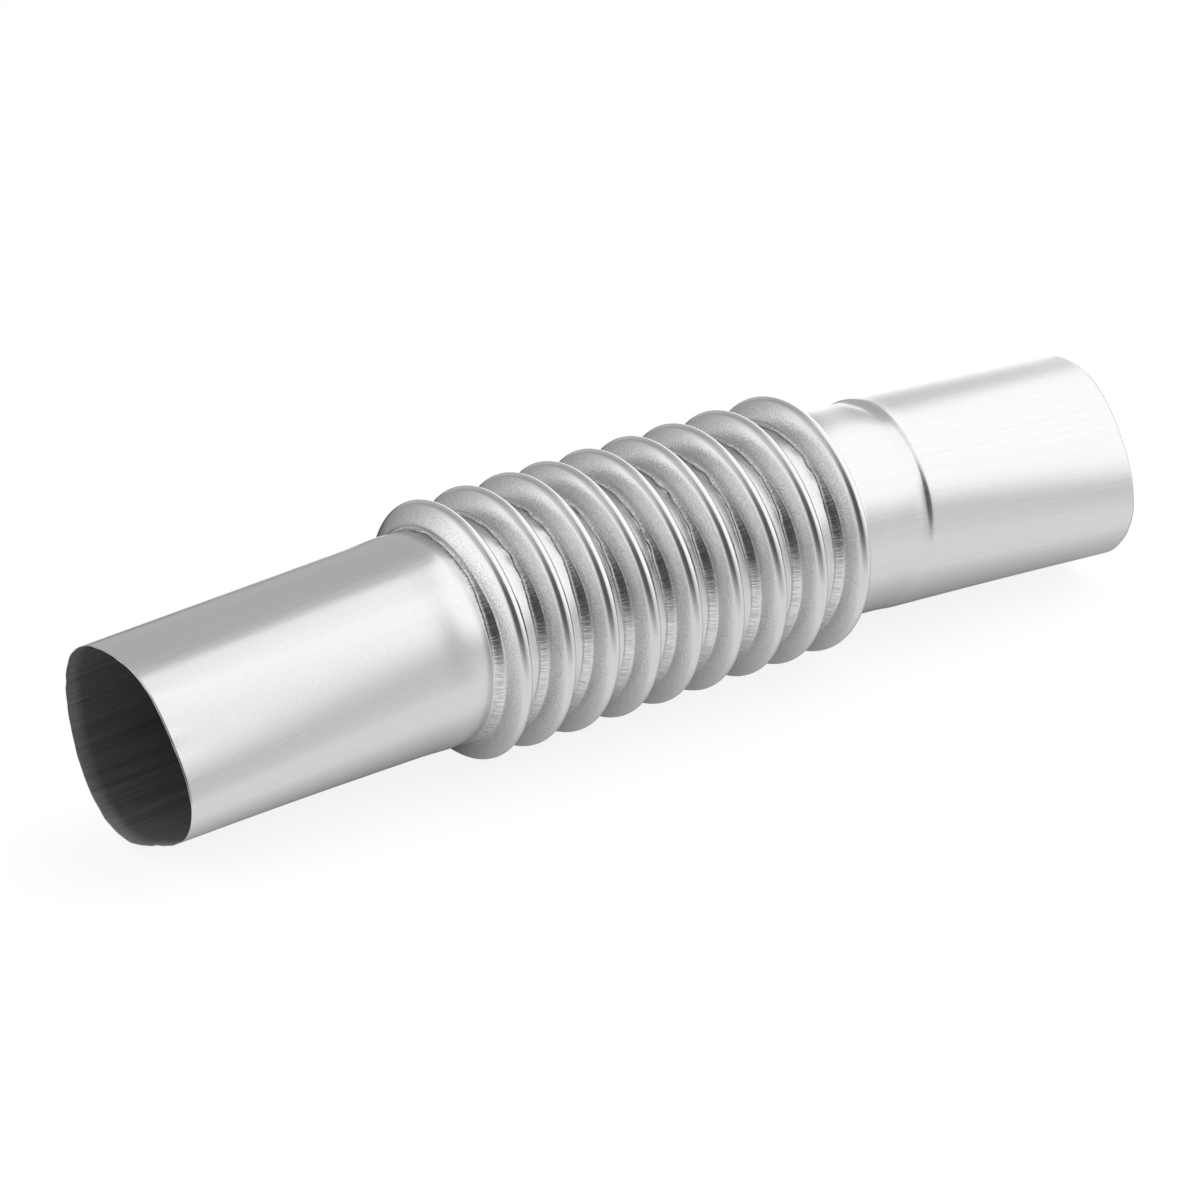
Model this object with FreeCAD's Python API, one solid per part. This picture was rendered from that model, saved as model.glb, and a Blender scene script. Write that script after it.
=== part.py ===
import FreeCAD, Part
import math
import os
from FreeCAD import Placement, Rotation, Vector

# Flue elbow for a water heater's exhaust, pressed from one piece of soft aluminium tube.
# A plain spigot, a stretch of nine beads that lets the tube bend, and a socket on a short neck.
# X runs along the beads from the spigot to the socket, Z is up, and the part lies on its beads,
# which are pressed a little flat there.
# Lengths are in millimetres and angles in degrees.

# Tube
tube_diameter = 110.0
wall = 0.5

# Beads: height, spacing and the section of one bead
bead_diameter = 136.0
bead_count = 9
valley_width = 6.1           # plain tube between two beads
crest_radius = 3.75          # round top of a bead
lip_radius = 4.0             # small roll where a bead leaves the tube
groove_radius = 1.2          # hollow between the roll and the flank
lip_rise_angle = 62.0        # slope at which the roll leaves the tube
lip_top_angle = 14.0         # slope at the end of the roll
front_flank_angle = 64.0     # flank towards the spigot
back_flank_angle = 70.0      # flank towards the socket

flat_depth = 0.35            # how far the beads are pressed flat where the tube lies on them

# How unevenly the stretched beads stand: along the tube, and leaning in the vertical plane
bead_drift = [0.0, 0.1, 0.4, -0.5, -0.9, -1.2, -0.5, -1.0, 0.0]
bead_lean = [2.0, 0.3, 0.1, 2.4, 2.6, 2.5, 3.0, 1.4, -0.6]

# Spigot: plain tube that droops a little and is squeezed out of round at its mouth
spigot_length = 182.0        # from the first bead's foot to the mouth
spigot_droop = 3.15
spigot_swell = 0.2           # extra radius just in front of the beads
spigot_swell_place = 0.2     # where that is, as a share of the spigot
spigot_taper = 2.0           # radius lost at the mouth
# each wave: number of lobes, height, and the angle of its first lobe from +Y towards +Z
spigot_waves = [(2, 2.2, 20.0), (3, 2.5, -58.0), (4, 1.75, 23.0), (5, 0.65, -23.0)]

# Neck: runs from the last bead to the fold where the socket starts
neck_length = 42.0
neck_droop = 3.6
neck_dip = 0.8               # how far the neck's top lies below the bead's foot
neck_waist_place = 0.7       # where the dip is deepest, as a share of the neck

# Socket: slightly wider than the tube, drooping, and out of round at its mouth
socket_length = 134.0
socket_droop = 3.8
socket_step = 0.5            # extra radius at the fold
socket_mouth_swell = 0.2     # extra radius at the mouth
socket_waves = [(2, 2.7, 20.0), (3, 1.4, 80.0), (4, 1.1, 20.0)]

# Out-of-round sections are smooth closed curves through this many points
section_points = 20
fuse_tolerance = 0.002

tube_radius = tube_diameter / 2
bead_radius = bead_diameter / 2
bead_height = bead_radius - tube_radius


def sine(angle):
    return math.sin(math.radians(angle))


def cosine(angle):
    return math.cos(math.radians(angle))


def arc_rise(radius, first, last):
    """Height gained along an arc whose slope turns from first to last."""
    return radius * abs(cosine(last) - cosine(first))


def arc_run(radius, first, last):
    """Length along the tube of the same arc."""
    return radius * abs(sine(first) - sine(last))


def flank_length(angle):
    """Straight part of a flank that brings the crest to the bead's height."""
    rises = [
        arc_rise(lip_radius, lip_rise_angle, lip_top_angle),
        arc_rise(groove_radius, lip_top_angle, angle),
        arc_rise(crest_radius, angle, 0.0),
    ]
    return (bead_height - sum(rises)) / sine(angle)


def half_run(angle):
    """Distance along the tube from a bead's foot to the middle of its crest."""
    runs = [
        arc_run(lip_radius, lip_rise_angle, lip_top_angle),
        arc_run(groove_radius, lip_top_angle, angle),
        flank_length(angle) * cosine(angle),
        arc_run(crest_radius, angle, 0.0),
    ]
    return sum(runs)


def bead_path(inset):
    """Edges of a bead's skin from foot to foot, and its end points, moved inwards by inset."""
    slope = lip_rise_angle
    x = -half_run(front_flank_angle) + inset * sine(slope)
    r = tube_radius - inset * cosine(slope)
    # an outward bulge turns down and shrinks by the inset, a hollow turns up and grows by it
    moves = [
        ("arc", lip_radius, lip_top_angle),
        ("arc", groove_radius, front_flank_angle),
        ("line", flank_length(front_flank_angle), None),
        ("arc", crest_radius, -back_flank_angle),
        ("line", flank_length(back_flank_angle), None),
        ("arc", groove_radius, -lip_top_angle),
        ("arc", lip_radius, -lip_rise_angle),
    ]
    edges = []
    first = Vector(x, 0, r)
    here = first
    for kind, size, turned in moves:
        if kind == "line":
            there = here + Vector(size * cosine(slope), 0, size * sine(slope))
            edges.append(Part.LineSegment(here, there).toShape())
            here = there
            continue
        side = 1 if turned < slope else -1
        radius = size - side * inset
        centre = here + Vector(sine(slope), 0, -cosine(slope)) * (side * radius)
        middle = (slope + turned) / 2
        halfway = centre - Vector(sine(middle), 0, -cosine(middle)) * (side * radius)
        there = centre - Vector(sine(turned), 0, -cosine(turned)) * (side * radius)
        edges.append(Part.Arc(here, halfway, there).toShape())
        here = there
        slope = turned
    return edges, first, here


def filled_bead(inset):
    """Bead filled up to its skin, turned around the X axis, with its crest at x = 0."""
    edges, first, last = bead_path(inset)
    front = -half_run(front_flank_angle)
    back = half_run(back_flank_angle)
    corners = [
        last,
        Vector(back, 0, tube_radius - inset),
        Vector(back, 0, 0),
        Vector(front, 0, 0),
        Vector(front, 0, tube_radius - inset),
        first,
    ]
    for here, there in zip(corners, corners[1:]):
        if here.distanceToPoint(there) > fuse_tolerance:
            edges.append(Part.LineSegment(here, there).toShape())
    face = Part.Face(Part.Wire(Part.__sortEdges__(edges)))
    return face.revolve(Vector(0, 0, 0), Vector(1, 0, 0), 360)


def pressed_flat(shape, height):
    """The shape without what lies below height."""
    box = shape.BoundBox
    below = Part.makeBox(
        box.XLength,
        box.YLength,
        bead_radius,
        Vector(box.XMin, box.YMin, height - bead_radius),
    )
    return shape.cut(below)


def bead_solid(index):
    """One bead as a thin shell, standing in its place and pressed flat at its lowest point."""
    skins = []
    for inset in (0.0, wall):
        skin = filled_bead(inset)
        skin.Placement = bead_frame(index)
        skins.append(pressed_flat(skin, flat_depth + inset - bead_radius))
    outer, inner = skins
    return outer.cut(inner)


def frame_at(point, pitch):
    """Placement whose X axis climbs by pitch and whose origin is point."""
    return Placement(point, Rotation(Vector(0, 1, 0), -pitch))


def bead_frame(index):
    pitch = half_run(front_flank_angle) + half_run(back_flank_angle) + valley_width
    place = (index - (bead_count - 1) / 2) * pitch
    drift = bead_drift[index % len(bead_drift)]
    lean = bead_lean[index % len(bead_lean)]
    return frame_at(Vector(place + drift, 0, 0), lean)


def round_section(frame, x, radius):
    circle = Part.makeCircle(radius, Vector(x, 0, 0), Vector(1, 0, 0))
    circle.Placement = frame
    return Part.Wire(circle)


def wavy_section(frame, x, radius_at):
    """Closed smooth curve in the frame's YZ plane, its radius given for each angle."""
    points = []
    for index in range(section_points):
        angle = 360.0 * index / section_points
        radius = radius_at(angle)
        local = Vector(x, radius * cosine(angle), radius * sine(angle))
        points.append(frame.multVec(local))
    curve = Part.BSplineCurve()
    curve.interpolate(Points=points, PeriodicFlag=True)
    return Part.Wire(curve.toShape())


def thin_loft(sections, ruled):
    """Tube wall through sections, each a function that returns a closed wire for an inset."""
    outer = Part.makeLoft([section(0.0) for section in sections], True, ruled)
    inner = Part.makeLoft([section(wall) for section in sections], True, ruled)
    return outer.cut(inner)


def valley_solid(index):
    """Plain ring of tube between one bead and the next."""
    left = bead_frame(index)
    right = bead_frame(index + 1)
    return thin_loft([
        lambda inset: round_section(left, half_run(back_flank_angle), tube_radius - inset),
        lambda inset: round_section(right, -half_run(front_flank_angle), tube_radius - inset),
    ], True)


def waves_height(waves, angle):
    return sum(height * cosine(lobes * (angle - place)) for lobes, height, place in waves)


def spigot_solid():
    first = bead_frame(0)
    foot = -half_run(front_flank_angle)
    root = first.multVec(Vector(foot, 0, 0))
    axis = frame_at(root, spigot_droop)

    def foot_section(inset):
        return wavy_section(first, foot, lambda angle: tube_radius - inset)

    def section_at(share):
        tapered = (share - spigot_swell_place) / (1 - spigot_swell_place)
        radius = tube_radius + spigot_swell - (spigot_swell + spigot_taper) * tapered

        def section(inset):
            def radius_at(angle):
                return radius + share * waves_height(spigot_waves, angle) - inset
            return wavy_section(axis, -share * spigot_length, radius_at)
        return section

    middle = (spigot_swell_place + 1) / 2
    places = [spigot_swell_place, middle, 1]
    return thin_loft([foot_section] + [section_at(share) for share in places], False)


def neck_frame():
    last = bead_frame(bead_count - 1)
    root = last.multVec(Vector(half_run(back_flank_angle), 0, 0))
    return frame_at(root, -neck_droop)


def fold_frame():
    """Frame of the fold, where the neck ends and the drooping socket begins."""
    fold = neck_frame().multVec(Vector(neck_length, 0, 0))
    return frame_at(fold, -socket_droop)


def fold_section(inset):
    return wavy_section(fold_frame(), 0, lambda angle: tube_radius + socket_step - inset)


def neck_solid():
    last = bead_frame(bead_count - 1)
    foot = half_run(back_flank_angle)

    def foot_section(inset):
        return wavy_section(last, foot, lambda angle: tube_radius - inset)

    def waist_section(inset):
        def radius_at(angle):
            return tube_radius - neck_dip * (1 + sine(angle)) / 2 - inset
        return wavy_section(neck_frame(), neck_waist_place * neck_length, radius_at)

    return thin_loft([foot_section, waist_section, fold_section], False)


def socket_solid():
    axis = fold_frame()

    def section_at(share):
        radius = tube_radius + socket_step + (socket_mouth_swell - socket_step) * share

        def section(inset):
            def radius_at(angle):
                return radius + share * waves_height(socket_waves, angle) - inset
            return wavy_section(axis, share * socket_length, radius_at)
        return section

    return thin_loft([fold_section, section_at(1 / 2), section_at(1)], False)


def elbow_tube():
    pieces = [spigot_solid()]
    for index in range(bead_count):
        pieces.append(bead_solid(index))
        if index < bead_count - 1:
            pieces.append(valley_solid(index))
    pieces.append(neck_solid())
    pieces.append(socket_solid())
    tube = pieces[0].multiFuse(pieces[1:], fuse_tolerance)
    return tube.Solids[0] if len(tube.Solids) == 1 else tube


def set_on_origin(shape):
    """Moves the part so that the origin is below its middle, on the surface it lies on."""
    box = shape.optimalBoundingBox(False)
    shape.translate(Vector(-box.Center.x, -box.Center.y, -box.ZMin))
    return shape


def main():
    os.makedirs("parts", exist_ok=True)
    tube = set_on_origin(elbow_tube())
    box = tube.optimalBoundingBox(False)
    print("solids", len(tube.Solids), "valid", tube.isValid(), "volume", round(tube.Volume, 1))
    print("box", round(box.XLength, 2), round(box.YLength, 2), round(box.ZLength, 2))
    tube.exportStep("parts/elbow_tube.step")


main()
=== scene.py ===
import math

import bpy
import numpy as np
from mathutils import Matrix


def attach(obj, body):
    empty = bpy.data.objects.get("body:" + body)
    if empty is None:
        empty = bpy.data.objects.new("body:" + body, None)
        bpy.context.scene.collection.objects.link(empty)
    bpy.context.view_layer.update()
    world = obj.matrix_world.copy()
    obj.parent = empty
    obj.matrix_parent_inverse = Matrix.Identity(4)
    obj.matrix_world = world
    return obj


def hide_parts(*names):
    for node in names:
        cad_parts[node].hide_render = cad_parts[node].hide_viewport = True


# Beaded aluminium flue tube lying on its beads, lit as in a small product studio.
# Lengths in the dictionaries are millimetres and angles are degrees; meshes are in metres.

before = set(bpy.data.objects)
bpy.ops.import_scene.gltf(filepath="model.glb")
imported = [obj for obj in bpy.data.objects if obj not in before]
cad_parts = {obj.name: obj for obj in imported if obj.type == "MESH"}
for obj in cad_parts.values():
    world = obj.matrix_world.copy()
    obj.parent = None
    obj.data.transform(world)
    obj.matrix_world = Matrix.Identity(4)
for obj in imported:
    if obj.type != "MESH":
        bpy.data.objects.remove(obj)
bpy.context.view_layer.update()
print("frame loaded")


def linearColour(hexCode):
    # sRGB hex to linear light, with alpha 1
    parts = [int(hexCode[i:i + 2], 16) / 255 for i in (1, 3, 5)]
    return [p / 12.92 if p <= 0.04045 else ((p + 0.055) / 1.055) ** 2.4 for p in parts] + [1.0]


def addNode(tree, kind, settings=None, inputs=None, links=None):
    # one node: its settings, the values of its sockets, and what is plugged into them
    node = tree.nodes.new(kind)
    for name, value in (settings or {}).items():
        setattr(node, name, value)
    for socket, value in (inputs or {}).items():
        node.inputs[socket].default_value = value
    for socket, source in (links or {}).items():
        tree.links.new(source, node.inputs[socket])
    return node


# The sheet's form. Lengths and diameters are the CAD part's; the rolls at the beads' feet, the spigot's
# swell and taper and the small dents follow the photo more closely. Turns around the tube are in radians,
# from +Y towards +Z. Rows are stretches of a part's length: from, to (as shares of it) and steps.
sheetForm = {
    "tubeRadius": 55.0, "wall": 0.5, "flatDepth": 0.35,
    "around": 144, "insideEvery": 4,  # points in a ring, and outer rows to each row of the inside
    "beadRadius": 68.0, "beadCount": 9, "beadPitch": 26.603,
    "drift": [0.0, 0.1, 0.4, -0.5, -0.9, -1.2, -0.5, -1.0, 0.0],
    "lean": [2.0, 0.3, 0.1, 2.4, 2.6, 2.5, 3.0, 1.4, -0.6],
    "footRadius": 0.5, "grooveRadius": 1.2, "crestRadius": 3.75, "bulge": 5.0, "topAngle": 9.0,
    "frontLip": 6.2, "frontRise": 53.0, "frontAngle": 64.0,  # the spigot's side: roll at the foot, flank
    "backLip": 3.6, "backRise": 62.0, "backAngle": 70.0,     # the socket's side
    "pinchedLip": {"frontLip": 4.2, "backLip": 2.8, "topAngle": 22.0},
    "pinchedTop": {"turn": 0.1, "starts": 0.55, "over": 0.35},  # over the top the rolls are pinched
    "valleyRows": [0.25, 0.5, 0.72, 0.88],
    "puckers": {
        "top": {"turn": 0.15, "starts": 0.6, "over": 0.4}, "elsewhere": 0.04,
        # lobes: how many around the tube, how high, and the phase gained with each bead
        "evenSwell": 0.6, "swell": [(5, 0.4, 1.7)],
        "wander": [(17, 0.62, 2.1), (29, 0.48, 1.3)], "frontReach": 1.8, "backReach": 1.6, "backShare": 0.5,
        "evenSink": 0.1, "sink": [(23, 0.20, 0.7), (37, 0.16, 2.9)], "sinkReach": 1.2,
        "wanderFade": 6, "sinkFade": 4,  # powers by which they fade into the valley in front of the bead
    },
    # bands over a bead's sheet: the foot they are measured from, middle, half width, power and strength
    "bands": {
        "footBand": [("front", 2.9, 2.5, 4, 1.0)],
        "flankBand": [("front", 9.5, 4.6, 4, 1.0), ("back", 9.0, 4.4, 4, 1.0)],
        "rolledBand": [("front", 0.0, 5.6, 6, 1.0), ("back", 0.0, 4.2, 6, 1.0)],
        "crease": [("front", 0.3, 0.5, 2, 1.0), ("front", 5.7, 0.9, 2, 0.4)],
    },
    # where the ring of painted shade behind each crest lies: the slope it is centred on and its width, in
    # degrees
    "crestEdge": {"slope": -46.0, "width": 5.0},
    "spigot": {
        "rows": [(1, 0.985, 3), (0.985, 0.16, 23), (0.16, 0.004, 13)],
        "length": 182.0, "droop": 3.15, "leanReach": 0.03, "swell": 0.75, "swellReach": 0.08, "taper": 2.75,
        "waves": [(2, 2.2, 20.0), (3, 2.5, -58.0), (4, 1.75, 23.0), (5, 0.65, -23.0)],
        "ridge": {"height": 0.8, "middle": 11.0, "width": 11.0, "rise": 4.0},
        "nicks": [(0.33, 0.03, -0.9), (5.20, 0.05, 0.5)],  # turn, width and height
        "ripples": [(17, 0.12, 1.0), (29, 0.1, 0.0)], "edgeReach": 5.0,
    },
    "neck": {
        "rows": [(0, 0.8, 15), (0.8, 1, 7)],
        "length": 42.0, "droop": 3.6, "leanReach": 0.1, "dip": 0.8, "dipSpan": 1.4, "stepReach": 6.0,
    },
    "socket": {
        "rows": [(0, 0.05, 6), (0.05, 0.985, 25), (0.985, 0.993, 1), (0.993, 1, 1)],
        "length": 134.0, "droop": 3.8, "step": 0.5, "swell": 0.2,
        "waves": [(2, 2.7, 20.0), (3, 1.4, 80.0), (4, 1.1, 20.0)],
        "foldCrest": {"height": 0.2, "reach": 4.0, "turn": 0.5},
        "ripples": [(13, 0.1, 0.6), (23, 0.08, 0.0)], "edgeReach": 5.0,
    },
    # hollows in front of the fold: place and width along the tube, then turn, width and depth of each
    "foldDents": {"middle": -3.8, "width": 3.5, "places": [(1.42, 0.26, 0.9), (2.78, 0.26, 0.7)]},
}


def bell(value, middle, width, power=2):
    # exp(-((value - middle) / width) ^ power)
    return np.exp(-((value - middle) / width) ** power)


def waves(lobes, angle):
    # Sum of height * cos(count * (angle - place)) over the lobes
    return sum(height * np.cos(count * (angle - math.radians(place))) for count, height, place in lobes)


def ripples(lobes, angle, index=1):
    # Sum of height * cos(count * angle + phase * index) over the lobes
    return sum(height * np.cos(count * angle + phase * index) for count, height, phase in lobes)


def overTheTop(angle, top):
    # 0 around most of the tube, rising to 1 over its top with the sine of the turn
    return np.clip((np.sin(angle - top["turn"]) - top["starts"]) / top["over"], 0, 1)


def placesOfRows(stretches):
    # Even steps along each stretch, one after the other, and the end of the last one
    steps = [np.linspace(first, last, count + 1)[:-1] for first, last, count in stretches]
    return np.concatenate(steps + [[stretches[-1][1]]])[:, None]


def placed(x, z, pitch, along, radius, angle):
    # Points at (along, radius, angle) of frames at (x, z) whose X axis climbs by pitch; rows by columns
    up = radius * np.sin(angle)
    return np.stack([
        x + along * np.cos(pitch) - up * np.sin(pitch),
        radius * np.cos(angle) + 0 * x,
        z + along * np.sin(pitch) + up * np.cos(pitch),
    ], axis=-1)


def beadProfile(form):
    # A bead's section as the sheet runs: stretches of even bend, each with a first and last slope.
    # A step of length L whose slope turns from a to b moves by L * sinc((b - a) / 2) along the mean slope.
    top, front, back = (math.radians(form[name]) for name in ("topAngle", "frontAngle", "backAngle"))
    frontRise, backRise = math.radians(form["frontRise"]), math.radians(form["backRise"])
    frontLip, backLip = form["frontLip"], form["backLip"]
    foot, groove, crest = form["footRadius"], form["grooveRadius"], form["crestRadius"]
    bulge = math.radians(form["bulge"])  # a flank is a little rounded: steeper below, flatter above

    def flank(slope, lip, rise):
        gained = foot * (1 - math.cos(rise)) + lip * (math.cos(top) - math.cos(rise))
        gained += groove * (math.cos(top) - math.cos(slope + bulge)) + crest * (1 - math.cos(slope - bulge))
        return (form["beadRadius"] - form["tubeRadius"] - gained) / math.sin(slope) / np.sinc(bulge / np.pi)

    # length, first slope, last slope and steps
    upwards = [
        (foot * frontRise, 0, frontRise, 2),
        (frontLip * (frontRise - top), frontRise, top, 6),
        (groove * (front + bulge - top), top, front + bulge, 3),
        (flank(front, frontLip, frontRise), front + bulge, front - bulge, 6),
        (crest * (front - bulge), front - bulge, 0, 7),
    ]
    downwards = [
        (crest * (back - bulge), 0, bulge - back, 7),
        (flank(back, backLip, backRise), bulge - back, -bulge - back, 5),
        (groove * (back + bulge - top), -bulge - back, -top, 3),
        (backLip * (backRise - top), -top, -backRise, 4),
        (foot * backRise, -backRise, 0, 2),
    ]
    stretches = upwards + downwards
    step = np.concatenate([np.full(n, length / n) for length, a, b, n in stretches])
    first = np.concatenate([np.linspace(a, b, n + 1)[:-1] for length, a, b, n in stretches])
    last = np.concatenate([np.linspace(a, b, n + 1)[1:] for length, a, b, n in stretches])
    chord = step * np.sinc((last - first) / (2 * np.pi))
    x = np.concatenate([[0], np.cumsum(chord * np.cos((first + last) / 2))])
    r = form["tubeRadius"] + np.concatenate([[0], np.cumsum(chord * np.sin((first + last) / 2))])
    crestAt = sum(n for length, a, b, n in upwards)  # the crest's middle, where the slope is 0
    return x - x[crestAt], r, np.concatenate([first, last[-1:]])


def framesOfBeads(form):
    # Middle of each bead's crest on the axis, and how its plane leans
    places = (np.arange(form["beadCount"]) - (form["beadCount"] - 1) / 2) * form["beadPitch"]
    return places + np.array(form["drift"]), np.radians(form["lean"])


def puckers(form, angle, index):
    # How far a bead's foot wanders along the tube and sinks into it: cosines whose heights swell and fade
    look = form["puckers"]
    upper = look["elsewhere"] + (1 - look["elsewhere"]) * overTheTop(angle, look["top"])
    swell = look["evenSwell"] + ripples(look["swell"], angle, index)
    sink = ripples(look["sink"], angle, index) + look["evenSink"]
    return upper * swell * ripples(look["wander"], angle, index), upper * swell * sink


def foldDents(form, beyond, angle):
    # Hollows just in front of the fold, where the sheet buckled: a bell along the tube times one around it
    dents = form["foldDents"]
    along = bell(beyond, dents["middle"], dents["width"])
    return sum(deep * along * bell(angle, turn, wide) for turn, wide, deep in dents["places"])


def spigotRows(form, angle, foot, lean):
    # Tube radius + swell - taper + waves, with a ridge beside the first bead and an uneven cut edge
    spigot, ridge = form["spigot"], form["spigot"]["ridge"]
    droop = math.radians(spigot["droop"])
    part = placesOfRows(spigot["rows"])
    fromFoot = part * spigot["length"]
    plane = droop + (lean - droop) * np.exp(-part / spigot["leanReach"])
    swell = spigot["swell"] * (1 - np.exp(-part / spigot["swellReach"]))
    radius = form["tubeRadius"] + swell - spigot["taper"] * part
    # pressing the first bead pushed the sheet up a little beside it
    pushed = bell(fromFoot, ridge["middle"], ridge["width"]) * np.clip(fromFoot / ridge["rise"], 0, 1)
    radius = radius + ridge["height"] * pushed
    # small dents and a kink where the sheet was bent at the mouth
    mouth = np.exp(-(1 - part) * spigot["length"] / spigot["edgeReach"])
    nicks = sum(height * bell(angle, turn, wide) for turn, wide, height in spigot["nicks"])
    edge = mouth * (nicks + ripples(spigot["ripples"], angle))
    radius = radius + part * waves(spigot["waves"], angle) + edge
    x, z = foot[0] - fromFoot * math.cos(droop), foot[1] - fromFoot * math.sin(droop)
    return placed(x, z, plane, 0 * part, radius, angle)


def neckRows(form, angle, foot, lean):
    # Tube radius - dip, deepest on top, + the socket's step, - the hollows in front of the fold
    neck, socket = form["neck"], form["socket"]
    droop = -math.radians(neck["droop"])
    part = placesOfRows(neck["rows"])[1:-1]  # the bead and the socket hold its first and last row
    plane = droop + (lean - droop) * np.exp(-part / neck["leanReach"])
    sinking = np.sin(np.pi * np.clip(part / neck["dipSpan"], 0, 1)) ** 2
    dip = neck["dip"] * sinking * (1 + np.sin(angle)) / 2
    step = socket["step"] * bell((1 - part) * neck["length"], 0, neck["stepReach"])
    dents = foldDents(form, (part - 1) * neck["length"], angle)
    x = foot[0] + part * neck["length"] * math.cos(droop)
    z = foot[1] + part * neck["length"] * math.sin(droop)
    return placed(x, z, plane, 0 * part, form["tubeRadius"] - dip + step - dents, angle)


def socketRows(form, angle, foot):
    # Tube radius + step, changing evenly to the mouth's swell, + waves, with the fold's crest and hollows
    neck, socket, crest = form["neck"], form["socket"], form["socket"]["foldCrest"]
    neckDroop, droop = -math.radians(neck["droop"]), -math.radians(socket["droop"])
    foldX = foot[0] + neck["length"] * math.cos(neckDroop)
    foldZ = foot[1] + neck["length"] * math.sin(neckDroop)
    part = placesOfRows(socket["rows"])
    beyond = part * socket["length"]
    radius = form["tubeRadius"] + socket["step"] + (socket["swell"] - socket["step"]) * part
    # the crest is a little proud on the camera's side and over the top, and fades below
    proud = crest["height"] * bell(beyond, 0, crest["reach"]) * (1 + np.sin(angle + crest["turn"])) / 2
    mouth = np.exp(-(1 - part) * socket["length"] / socket["edgeReach"])
    edge = mouth * ripples(socket["ripples"], angle) - foldDents(form, beyond, angle)
    radius = radius + part * waves(socket["waves"], angle) + proud + edge
    x, z = foldX + beyond * math.cos(droop), foldZ + beyond * math.sin(droop)
    return placed(x, z, droop, 0 * part, radius, angle)


def marksOfBead(form, walked, toEnd, profileR, slope):
    # How much each row of a bead is in each band, and on the edge behind its crest
    fromFoot = {"front": walked, "back": toEnd}
    marks = {name: sum(strength * bell(fromFoot[foot], middle, width, power)
                       for foot, middle, width, power, strength in bells)
             for name, bells in form["bands"].items()}
    behindCrest = np.arange(len(slope)) > np.argmax(profileR)
    edge = form["crestEdge"]
    marks["crestEdge"] = bell(np.degrees(slope), edge["slope"], edge["width"]) * behindCrest
    marks["anyBead"] = np.ones(len(slope))
    return marks


def sheetRows(form):
    # The outer skin from the spigot's mouth to the socket's: a grid of points, and marks for each row
    angle = np.arange(form["around"])[None, :] * 2 * np.pi / form["around"]
    profileX, profileR, slope = beadProfile(form)
    pinchedX, pinchedR = beadProfile({**form, **form["pinchedLip"]})[:2]
    pinch = 0.5 - 0.5 * np.cos(np.pi * overTheTop(angle, form["pinchedTop"]))  # a smooth rise from 0 to 1
    alongBead = profileX[:, None] * (1 - pinch) + pinchedX[:, None] * pinch
    beadHeight = profileR[:, None] * (1 - pinch) + pinchedR[:, None] * pinch

    walked = np.concatenate([[0], np.cumsum(np.hypot(np.diff(profileX), np.diff(profileR)))])
    toEnd = walked[-1] - walked
    look = form["puckers"]
    nearFoot = bell(walked, 0, look["frontReach"]) + look["backShare"] * bell(toEnd, 0, look["backReach"])
    sinking = bell(walked, 0, look["sinkReach"])
    across = np.array(form["valleyRows"])[:, None]
    beadX, beadLean = framesOfBeads(form)

    def foot(index, x):
        return beadX[index] + x * math.cos(beadLean[index]), x * math.sin(beadLean[index])

    blocks = [(spigotRows(form, angle, foot(0, profileX[0]), beadLean[0]), False)]
    for index in range(form["beadCount"]):
        # where the bead was pressed against the tube its foot is puckered, mostly over the top
        wander, sink = puckers(form, angle, index)
        along = alongBead + wander * nearFoot[:, None]
        height = beadHeight - sink * sinking[:, None]
        bead = placed(beadX[index] + 0 * along, 0 * along, beadLean[index], along, height, angle)
        blocks.append((bead, True))
        if index < form["beadCount"] - 1:
            # a valley runs straight from the bead's last row to the next bead's foot
            wander, sink = puckers(form, angle, index + 1)
            along = alongBead[:1] + wander * across ** look["wanderFade"]
            height = form["tubeRadius"] - sink * across ** look["sinkFade"]
            ahead = placed(beadX[index + 1], 0 * across, beadLean[index + 1], along, height, angle)
            share = across[..., None]
            blocks.append((bead[-1:] * (1 - share) + ahead * share, False))
    lastFoot = foot(-1, profileX[-1])
    blocks.append((neckRows(form, angle, lastFoot, beadLean[-1]), False))
    blocks.append((socketRows(form, angle, lastFoot), False))

    marks = {}
    for name, values in marksOfBead(form, walked, toEnd, profileR, slope).items():
        marks[name] = np.concatenate([values if isBead else np.zeros(len(rows)) for rows, isBead in blocks])
    return np.concatenate([rows for rows, isBead in blocks]), marks, angle[0]


def gridNormals(points):
    # Cross product of the difference along the rows and the one around the ring
    alongRows = np.gradient(points, axis=0)
    around = np.roll(points, -1, axis=1) - np.roll(points, 1, axis=1)
    normal = np.cross(alongRows, around)
    normal /= np.linalg.norm(normal, axis=-1, keepdims=True)
    fromAxis = points[..., 1:] - points[..., 1:].mean(axis=1, keepdims=True)
    return normal * np.sign(np.sum(normal[..., 1:] * fromAxis))


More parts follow.
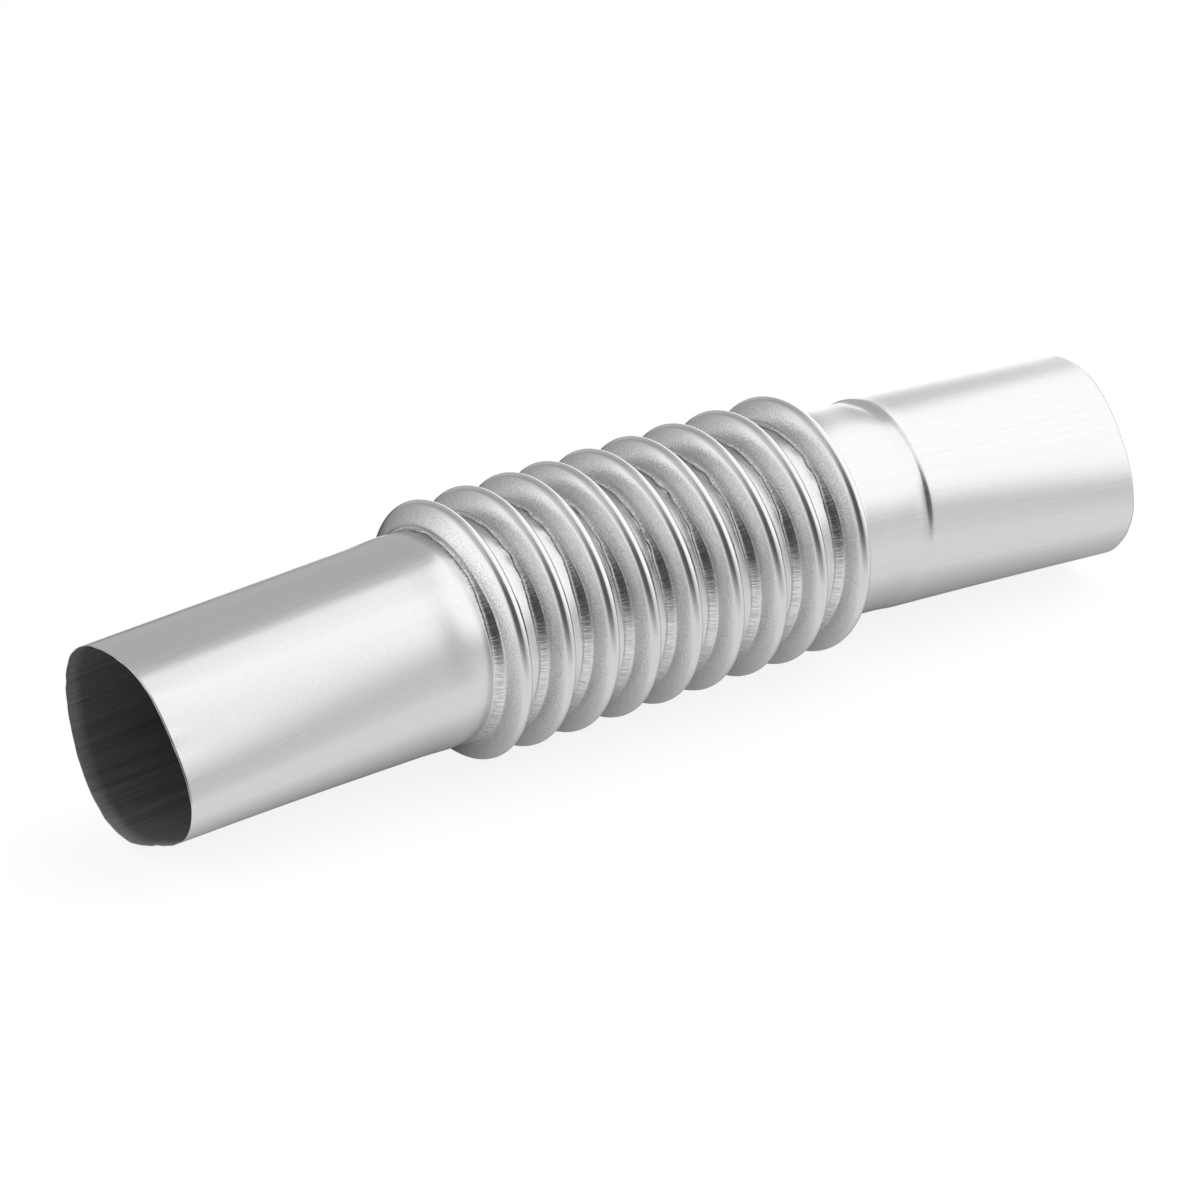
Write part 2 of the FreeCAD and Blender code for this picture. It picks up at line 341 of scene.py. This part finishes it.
def buildTube(form):
    outer, marks, angle = sheetRows(form)
    inner = outer - form["wall"] * gridNormals(outer)
    lengths = np.linalg.norm(np.diff(outer, axis=0), axis=-1).mean(axis=1)
    place = np.concatenate([[0], np.cumsum(lengths)])
    # the tube lies on its beads, pressed flat there, and its middle is over the origin
    lift = form["beadRadius"] - form["flatDepth"]
    outer[..., 2] = np.maximum(outer[..., 2] + lift, 0)
    inner[..., 2] = np.maximum(inner[..., 2] + lift, form["wall"])
    middle = (outer[..., 0].min() + outer[..., 0].max()) / 2
    outer[..., 0] -= middle
    inner[..., 0] -= middle

    rows, around = outer.shape[:2]
    kept = np.unique(np.concatenate([[0, rows - 1], np.arange(0, rows, form["insideEvery"])]))
    points = np.concatenate([outer.reshape(-1, 3), inner[kept].reshape(-1, 3)]) / 1000
    ring = np.arange(around)
    ahead = (ring + 1) % around

    def quads(firstRows, nextRows, flip):
        a, b = firstRows[:, None] + ring, firstRows[:, None] + ahead
        c, d = nextRows[:, None] + ahead, nextRows[:, None] + ring
        return np.stack([a, d, c, b] if flip else [a, b, c, d], axis=-1).reshape(-1, 4)

    outerRows = np.arange(rows) * around
    innerRows = rows * around + np.arange(len(kept)) * around
    # each skin with its material: 0 is drawn and 1 is the inside, dull and darkened as painted shade
    skins = [
        (0, quads(outerRows[:-1], outerRows[1:], False)),
        (1, quads(innerRows[:-1], innerRows[1:], True)),
        (0, quads(innerRows[:1], outerRows[:1], False)),    # cut edge at the spigot's mouth
        (0, quads(outerRows[-1:], innerRows[-1:], False)),  # cut edge at the socket's mouth
    ]
    mesh = bpy.data.meshes.new("flueTube")
    mesh.from_pydata(points, [], np.concatenate([faces for slot, faces in skins]).tolist())
    slots = np.concatenate([np.full(len(faces), slot) for slot, faces in skins])
    mesh.polygons.foreach_set("material_index", slots.astype(np.int32))
    mesh.polygons.foreach_set("use_smooth", np.ones(len(slots), bool))
    mesh.update()

    def spread(values):
        grid = np.broadcast_to(values, (rows, around))
        return np.concatenate([grid.reshape(-1), grid[kept].reshape(-1)])

    # the sheet's own place: how far along it, and the turn as a point on the tube's circle, in metres
    radius = form["tubeRadius"]
    ways = (place[:, None], radius * np.cos(angle), radius * np.sin(angle))
    sheetPlace = np.stack([spread(way) for way in ways], axis=-1) / 1000
    attribute = mesh.attributes.new("sheetPlace", "FLOAT_VECTOR", "POINT")
    attribute.data.foreach_set("vector", sheetPlace.astype(np.float32).ravel())
    for name, values in marks.items():
        attribute = mesh.attributes.new(name, "FLOAT", "POINT")
        attribute.data.foreach_set("value", spread(values[:, None]).astype(np.float32))
    piece = bpy.data.objects.new("flue_tube", mesh)
    bpy.context.scene.collection.objects.link(piece)
    return piece


# Soft aluminium tube, drawn and then pressed into beads: bright and satin, with fine lines
# along the tube that blur reflections around it, and smoother where the beads were rolled.
drawnAluminium = {
    "colour": "#D9D9D9", "roughness": 0.24, "rolledRoughness": 0.15,
    "patterns": {
        "dents": {"length": 48.0, "width": 24.0, "detail": 2.0, "depth": 0.06},
        "lines": {"length": 80.0, "width": 1.2, "detail": 3.0, "depth": 0.0012},  # coarser than real ones
        "hatch": {"length": 9.0, "width": 0.9, "detail": 2.0, "depth": 0.18},     # at the beads' feet
        "grain": {"length": 1.0, "width": 1.0, "detail": 3.0, "depth": 0.17},     # on the stretched flanks
    },
    "noiseRoughness": 0.6, "linesOnBeads": 0.5, "plainGrain": 0.2,
    "lineRoughness": {"From Min": 0.3, "From Max": 0.7, "To Min": -0.025, "To Max": 0.025},
    "lineTint": {"From Min": 0.3, "From Max": 0.7, "To Min": 0.965, "To Max": 1.02},
    "mottle": {"From Min": 0.35, "From Max": 0.65, "To Min": 0.88, "To Max": 1.1},
    # the hatch at the beads' feet: its tone, partly wrinkles and partly painted shade, darker on the whole
    "footHatchAndShade": {"From Min": 0.42, "From Max": 0.58, "To Min": 0.74, "To Max": 1.05},
    # the ring of painted shade behind each crest: how dark it gets
    "ring": {"To Min": 1.0, "To Max": 0.35},
    # painted shade in the creases: its patches, how high above the axis it begins, and how dark it gets
    "creaseShadePatches": {"From Min": 0.38, "From Max": 0.55, "To Min": 0.45, "To Max": 1.0},
    "creaseShadeHeight": {"From Min": 0.016, "From Max": 0.03},  # metres above the tube's axis
    "paintedCreaseShade": {"To Min": 1.0, "To Max": 0.1},
}

# The inside is the same sheet, taken as dull and darkened as painted shade for the inside of the tube: nearly
# black in the shade
dullShadedInside = {
    "colour": "#808082", "metallic": 0.25, "roughness": 0.5, "noiseRoughness": 0.6,
    "streaks": {"length": 90.0, "width": 2.2, "detail": 4.0, "depth": 0.02},
    "streakTint": {"From Min": 0.3, "From Max": 0.75, "To Min": 0.8, "To Max": 1.35},
}


def makeDrawnAluminium(look):
    material = bpy.data.materials.new("drawn_aluminium")
    material.use_nodes = True
    tree = material.node_tree
    metal = tree.nodes["Principled BSDF"]
    metal.inputs["Metallic"].default_value = 1.0

    # the sheet's own place, squeezed so that one cell of a pattern is as long and as wide as its name says
    where = addNode(tree, "ShaderNodeAttribute", {"attribute_name": "sheetPlace"})
    noise = {}
    for name, pattern in look["patterns"].items():
        along, across = 1000 / pattern["length"], 1000 / pattern["width"]
        squeezed = addNode(tree, "ShaderNodeMapping", {}, {"Scale": (along, across, across)},
                           {"Vector": where.outputs["Vector"]})
        noise[name] = addNode(tree, "ShaderNodeTexNoise", {}, {
            "Scale": 1.0, "Detail": pattern["detail"], "Roughness": look["noiseRoughness"],
        }, {"Vector": squeezed.outputs["Vector"]}).outputs["Fac"]
    marks = {}
    for name in ("anyBead", "footBand", "flankBand", "rolledBand", "crestEdge", "crease"):
        marks[name] = addNode(tree, "ShaderNodeAttribute", {"attribute_name": name}).outputs["Fac"]

    # the beads have no lines, the hatch is at their feet, and the grain is mostly on their flanks
    lines = addNode(tree, "ShaderNodeMapRange", {}, {"To Max": look["linesOnBeads"]},
                    {"Value": marks["anyBead"], "To Min": noise["lines"]}).outputs["Result"]
    stretched = addNode(tree, "ShaderNodeMapRange", {}, {"To Min": look["plainGrain"]},
                        {"Value": marks["flankBand"]}).outputs["Result"]
    hatch = addNode(tree, "ShaderNodeMath", {"operation": "MULTIPLY"}, {},
                    {0: noise["hatch"], 1: marks["footBand"]}).outputs["Value"]
    grain = addNode(tree, "ShaderNodeMath", {"operation": "MULTIPLY"}, {},
                    {0: noise["grain"], 1: stretched}).outputs["Value"]

    rolled = addNode(tree, "ShaderNodeMapRange", {}, {
        "To Min": look["roughness"], "To Max": look["rolledRoughness"],
    }, {"Value": marks["rolledBand"]})
    change = addNode(tree, "ShaderNodeMapRange", {}, look["lineRoughness"], {"Value": lines})
    rough = addNode(tree, "ShaderNodeMath", {"operation": "ADD"}, {},
                    {0: rolled.outputs["Result"], 1: change.outputs["Result"]})
    tree.links.new(rough.outputs["Value"], metal.inputs["Roughness"])

    # painted shade in the creases at the beads' feet, and fainter in the groove above each roll: in patches,
    # on the upper side only
    heights = addNode(tree, "ShaderNodeSeparateXYZ", {}, {}, {0: where.outputs["Vector"]})
    creaseShading = marks["crease"]
    for reach, value in ((look["creaseShadePatches"], noise["hatch"]),
                         (look["creaseShadeHeight"], heights.outputs["Z"])):
        share = addNode(tree, "ShaderNodeMapRange", {}, reach, {"Value": value})
        creaseShading = addNode(tree, "ShaderNodeMath", {"operation": "MULTIPLY"}, {},
                         {0: creaseShading, 1: share.outputs["Result"]}).outputs["Value"]

    # factors on the colour: the grain's and the hatch's count only where these are; the hatch's also darkens
    # the beads' feet on the whole, as painted shade
    factors = []
    for reach, value, amount in ((look["mottle"], noise["grain"], stretched),
                                 (look["footHatchAndShade"], noise["hatch"], marks["footBand"])):
        full = addNode(tree, "ShaderNodeMapRange", {}, reach, {"Value": value})
        factors.append(addNode(tree, "ShaderNodeMapRange", {}, {"To Min": 1.0},
                               {"Value": amount, "To Max": full.outputs["Result"]}))
    # a thin ring of painted shade behind each crest, where its outline shows dark
    factors.append(addNode(tree, "ShaderNodeMapRange", {}, look["ring"], {"Value": marks["crestEdge"]}))
    factors.append(addNode(tree, "ShaderNodeMapRange", {}, look["paintedCreaseShade"], {"Value": creaseShading}))
    tint = addNode(tree, "ShaderNodeMapRange", {}, look["lineTint"], {"Value": lines}).outputs["Result"]
    for factor in factors:
        tint = addNode(tree, "ShaderNodeMath", {"operation": "MULTIPLY"}, {},
                       {0: tint, 1: factor.outputs["Result"]}).outputs["Value"]
    colour = addNode(tree, "ShaderNodeVectorMath", {"operation": "SCALE"},
                     {0: linearColour(look["colour"])[:3]}, {"Scale": tint})
    tree.links.new(colour.outputs["Vector"], metal.inputs["Base Color"])

    heightOf = {"dents": noise["dents"], "lines": lines, "hatch": hatch, "grain": grain}
    links = {}
    for name, height in heightOf.items():
        depth = look["patterns"][name]["depth"] / 1000
        bump = addNode(tree, "ShaderNodeBump", {}, {"Strength": 1.0, "Distance": depth},
                       {"Height": height, **links})
        links = {"Normal": bump.outputs["Normal"]}
    tree.links.new(links["Normal"], metal.inputs["Normal"])
    return material


def makeDullShadedInside(look):
    material = bpy.data.materials.new("dull_aluminium_inside_painted_shade")
    material.use_nodes = True
    tree = material.node_tree
    metal = tree.nodes["Principled BSDF"]
    metal.inputs["Metallic"].default_value = look["metallic"]
    metal.inputs["Roughness"].default_value = look["roughness"]
    pattern = look["streaks"]
    along, across = 1000 / pattern["length"], 1000 / pattern["width"]
    where = addNode(tree, "ShaderNodeAttribute", {"attribute_name": "sheetPlace"})
    squeezed = addNode(tree, "ShaderNodeMapping", {}, {"Scale": (along, across, across)},
                       {"Vector": where.outputs["Vector"]})
    streaks = addNode(tree, "ShaderNodeTexNoise", {}, {
        "Scale": 1.0, "Detail": pattern["detail"], "Roughness": look["noiseRoughness"],
    }, {"Vector": squeezed.outputs["Vector"]})
    tint = addNode(tree, "ShaderNodeMapRange", {}, look["streakTint"], {"Value": streaks.outputs["Fac"]})
    colour = addNode(tree, "ShaderNodeVectorMath", {"operation": "SCALE"},
                     {0: linearColour(look["colour"])[:3]}, {"Scale": tint.outputs["Result"]})
    tree.links.new(colour.outputs["Vector"], metal.inputs["Base Color"])
    bump = addNode(tree, "ShaderNodeBump", {}, {"Strength": 1.0, "Distance": pattern["depth"] / 1000},
                   {"Height": streaks.outputs["Fac"]})
    tree.links.new(bump.outputs["Normal"], metal.inputs["Normal"])
    return material


flueTube = buildTube(sheetForm)
flueTube.data.materials.append(makeDrawnAluminium(drawnAluminium))
flueTube.data.materials.append(makeDullShadedInside(dullShadedInside))
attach(flueTube, "root")
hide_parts("elbow_tube")
print("tube built:", len(flueTube.data.polygons), "faces")


# The studio: light from all round, drawn as soft-edged panels, each over the ones before it. Azimuth is
# 0 towards -Y and 90 towards +X, elevation is above the horizon. The room behind the camera is dark.
noEdge = 400  # degrees that no direction reaches: the panel goes on
studioLight = {
    "room": 0.42,
    # azimuth and elevation from and to, how soft those four edges are, and how bright the panel is
    "panels": {
        "lit ground": {
            "azimuth": (-110, noEdge), "elevation": (-noEdge, 25),
            "soft": (30, 10, 10, 20), "strength": 0.76},
        "lit ground at the right": {
            "azimuth": (30, noEdge), "elevation": (-noEdge, -4),
            "soft": (20, 10, 10, 20), "strength": 0.92},
        "back wall": {
            "azimuth": (125, 172), "elevation": (-noEdge, 80),
            "soft": (10, 16, 6, 20), "strength": 0.56},
        "dark ground behind": {
            "azimuth": (115, noEdge), "elevation": (-noEdge, -6),
            "soft": (20, 10, 10, 12), "strength": 0.04},
        "dark ground to the left": {
            "azimuth": (-noEdge, -145), "elevation": (-noEdge, -19),
            "soft": (10, 30, 10, 6), "strength": 0.06},
        "left wall": {
            "azimuth": (-154, -66), "elevation": (-24, 80),
            "soft": (30, 30, 20, 30), "strength": 0.74},
        "left softbox": {
            "azimuth": (-136, -76), "elevation": (-14, 28),
            "soft": (16, 24, 16, 24), "strength": 1.4},
        "dark room": {
            "azimuth": (-66, 15), "elevation": (-8, 52),
            "soft": (40, 14, 34, 36), "strength": 0.1},
        "big softbox": {
            "azimuth": (20, 144.5), "elevation": (37.5, noEdge),
            "soft": (14, 8, 26, 10), "strength": 1.42, "lean": 0.42, "climb": 0.62},
    },
    # a lamp straight overhead, on the socket's side: where it begins in elevation and towards +X
    "lamp": {"elevation": (58.0, 74.0), "ahead": (-0.01, 0.13), "strength": 1.1},
}


def lightTheStudio(light):
    world = bpy.data.worlds.new("studio")
    bpy.context.scene.world = world
    world.use_nodes = True
    tree = world.node_tree
    tree.nodes.clear()
    way = addNode(tree, "ShaderNodeTexCoord")
    axes = addNode(tree, "ShaderNodeSeparateXYZ", {}, {}, {0: way.outputs["Generated"]})
    toFront = addNode(tree, "ShaderNodeMath", {"operation": "MULTIPLY"}, {1: -1.0}, {0: axes.outputs["Y"]})
    turn = addNode(tree, "ShaderNodeMath", {"operation": "ARCTAN2"}, {},
                   {0: axes.outputs["X"], 1: toFront.outputs["Value"]})
    climb = addNode(tree, "ShaderNodeMath", {"operation": "ARCSINE"}, {}, {0: axes.outputs["Z"]})
    azimuth = addNode(tree, "ShaderNodeMath", {"operation": "DEGREES"}, {}, {0: turn.outputs["Value"]})
    elevation = addNode(tree, "ShaderNodeMath", {"operation": "DEGREES"}, {}, {0: climb.outputs["Value"]})
    azimuth, elevation = azimuth.outputs["Value"], elevation.outputs["Value"]

    level = addNode(tree, "ShaderNodeValue").outputs["Value"]
    level.default_value = light["room"]
    for panel in light["panels"].values():
        # a far edge can lean towards the front as it climbs, and a lower edge can fall on its way round
        leaning = addNode(tree, "ShaderNodeMath", {"operation": "MULTIPLY_ADD"}, {1: panel.get("lean", 0.0)},
                          {0: elevation, 2: azimuth}).outputs["Value"]
        falling = addNode(tree, "ShaderNodeMath", {"operation": "MULTIPLY_ADD"}, {1: panel.get("climb", 0.0)},
                          {0: azimuth, 2: elevation}).outputs["Value"]
        sides = [
            (azimuth, panel["azimuth"][0], 0.0, 1.0), (leaning, panel["azimuth"][1], 1.0, 0.0),
            (falling, panel["elevation"][0], 0.0, 1.0), (elevation, panel["elevation"][1], 1.0, 0.0),
        ]
        amount = None
        for (value, edge, below, above), soft in zip(sides, panel["soft"]):
            inside = addNode(tree, "ShaderNodeMapRange", {"interpolation_type": "SMOOTHSTEP"}, {
                "From Min": edge - soft / 2, "From Max": edge + soft / 2, "To Min": below, "To Max": above,
            }, {"Value": value}).outputs["Result"]
            if amount:
                inside = addNode(tree, "ShaderNodeMath", {"operation": "MULTIPLY"}, {},
                                 {0: amount, 1: inside}).outputs["Value"]
            amount = inside
        level = addNode(tree, "ShaderNodeMapRange", {}, {"To Max": panel["strength"]},
                        {"Value": amount, "To Min": level}).outputs["Result"]

    lamp = light["lamp"]
    shares = []
    for name, value in (("elevation", elevation), ("ahead", axes.outputs["X"])):
        start, end = lamp[name]
        shares.append(addNode(tree, "ShaderNodeMapRange", {"interpolation_type": "SMOOTHSTEP"},
                              {"From Min": start, "From Max": end}, {"Value": value}).outputs["Result"])
    shining = addNode(tree, "ShaderNodeMath", {"operation": "MULTIPLY"}, {}, {0: shares[0], 1: shares[1]})
    level = addNode(tree, "ShaderNodeMapRange", {}, {"To Max": lamp["strength"]},
                    {"Value": shining.outputs["Value"], "To Min": level}).outputs["Result"]

    # the backdrop is white for the eye, straight or through glass; the metal sees the panels
    path = addNode(tree, "ShaderNodeLightPath")
    seen = addNode(tree, "ShaderNodeMath", {"operation": "MAXIMUM"}, {},
                   {0: path.outputs["Is Camera Ray"], 1: path.outputs["Is Transmission Ray"]})
    shown = addNode(tree, "ShaderNodeMapRange", {}, {"To Max": 1.0},
                    {"Value": seen.outputs["Value"], "To Min": level})
    sky = addNode(tree, "ShaderNodeBackground", {}, {"Color": (1, 1, 1, 1)},
                  {"Strength": shown.outputs["Result"]})
    addNode(tree, "ShaderNodeOutputWorld", {}, {}, {"Surface": sky.outputs["Background"]})


# White table top. Part of what the eye and the metal see of it is plain white, so that it reads
# as the photo's white ground; the rest is lit, and keeps the tube's shadow.
whiteTable = {
    "left": -620.0, "right": 560.0, "front": -215.0, "back": 140.0,
    "height": -0.3,  # just clear of the tube
    "colour": "#FCFCFC", "white": 1.14, "whiteToEye": 0.75, "whiteToMetal": 0.86,
    "paintedShadeBehind": {"front": -82.0, "back": 8.0, "strength": (1.0, 0.02)},  # painted shade behind the tube: the white the metal sees fades to the back
}


def makeTable(look):
    left, right, front, back, height = (
        look[side] / 1000 for side in ("left", "right", "front", "back", "height"))
    corners = [(left, front, height), (right, front, height), (right, back, height), (left, back, height)]
    mesh = bpy.data.meshes.new("table")
    mesh.from_pydata(corners, [], [(0, 1, 2, 3)])
    table = bpy.data.objects.new("table_top", mesh)
    bpy.context.scene.collection.objects.link(table)
    material = bpy.data.materials.new("white_laminate")
    material.use_nodes = True
    tree = material.node_tree
    tree.nodes.clear()
    matt = addNode(tree, "ShaderNodeBsdfDiffuse", {}, {"Color": linearColour(look["colour"])})
    path = addNode(tree, "ShaderNodeLightPath")
    eye = addNode(tree, "ShaderNodeMath", {"operation": "MAXIMUM"}, {},
                  {0: path.outputs["Is Camera Ray"], 1: path.outputs["Is Transmission Ray"]})
    toEye = addNode(tree, "ShaderNodeMath", {"operation": "MULTIPLY"}, {1: look["whiteToEye"]},
                    {0: eye.outputs["Value"]})
    toMetal = addNode(tree, "ShaderNodeMath", {"operation": "MULTIPLY"}, {1: look["whiteToMetal"]},
                      {0: path.outputs["Is Glossy Ray"]})
    share = addNode(tree, "ShaderNodeMath", {"operation": "MAXIMUM"}, {},
                    {0: toEye.outputs["Value"], 1: toMetal.outputs["Value"]})
    place = addNode(tree, "ShaderNodeTexCoord")
    axes = addNode(tree, "ShaderNodeSeparateXYZ", {}, {}, {0: place.outputs["Object"]})
    # painted shade: the white that the metal sees fades from the front to the back of the table
    paintedShadeBehind = look["paintedShadeBehind"]
    fading = addNode(tree, "ShaderNodeMapRange", {}, {
        "From Min": paintedShadeBehind["front"] / 1000, "From Max": paintedShadeBehind["back"] / 1000,
        "To Min": paintedShadeBehind["strength"][0], "To Max": paintedShadeBehind["strength"][1],
    }, {"Value": axes.outputs["Y"]})
    level = addNode(tree, "ShaderNodeMapRange", {}, {"To Max": look["white"]},
                    {"Value": eye.outputs["Value"], "To Min": fading.outputs["Result"]})
    white = addNode(tree, "ShaderNodeEmission", {}, {"Color": (1, 1, 1, 1)},
                    {"Strength": level.outputs["Result"]})
    both = addNode(tree, "ShaderNodeMixShader", {}, {},
                   {0: share.outputs["Value"], 1: matt.outputs["BSDF"], 2: white.outputs["Emission"]})
    addNode(tree, "ShaderNodeOutputMaterial", {}, {}, {"Surface": both.outputs["Shader"]})
    mesh.materials.append(material)


# The photo's camera, found from the beads' rings and the tube's ends; its place and reach are in metres
photoCamera = {
    "azimuth": -36.15, "elevation": 25.61, "lens": 210.0, "sensor": 36.0,
    "place": (-1.9074, -2.5974, 1.5998), "reach": 50.0,
}


def makeCamera(view):
    data = bpy.data.cameras.new("photoCamera")
    data.lens = view["lens"]
    data.sensor_width = view["sensor"]
    data.clip_end = view["reach"]
    camera = bpy.data.objects.new("photoCamera", data)
    camera.location = view["place"]
    camera.rotation_euler = (math.radians(90 - view["elevation"]), 0.0, math.radians(view["azimuth"]))
    bpy.context.scene.collection.objects.link(camera)
    bpy.context.scene.camera = camera


lightTheStudio(studioLight)
makeTable(whiteTable)
makeCamera(photoCamera)
bpy.context.scene.view_settings.view_transform = "Standard"
print("studio and camera ready")
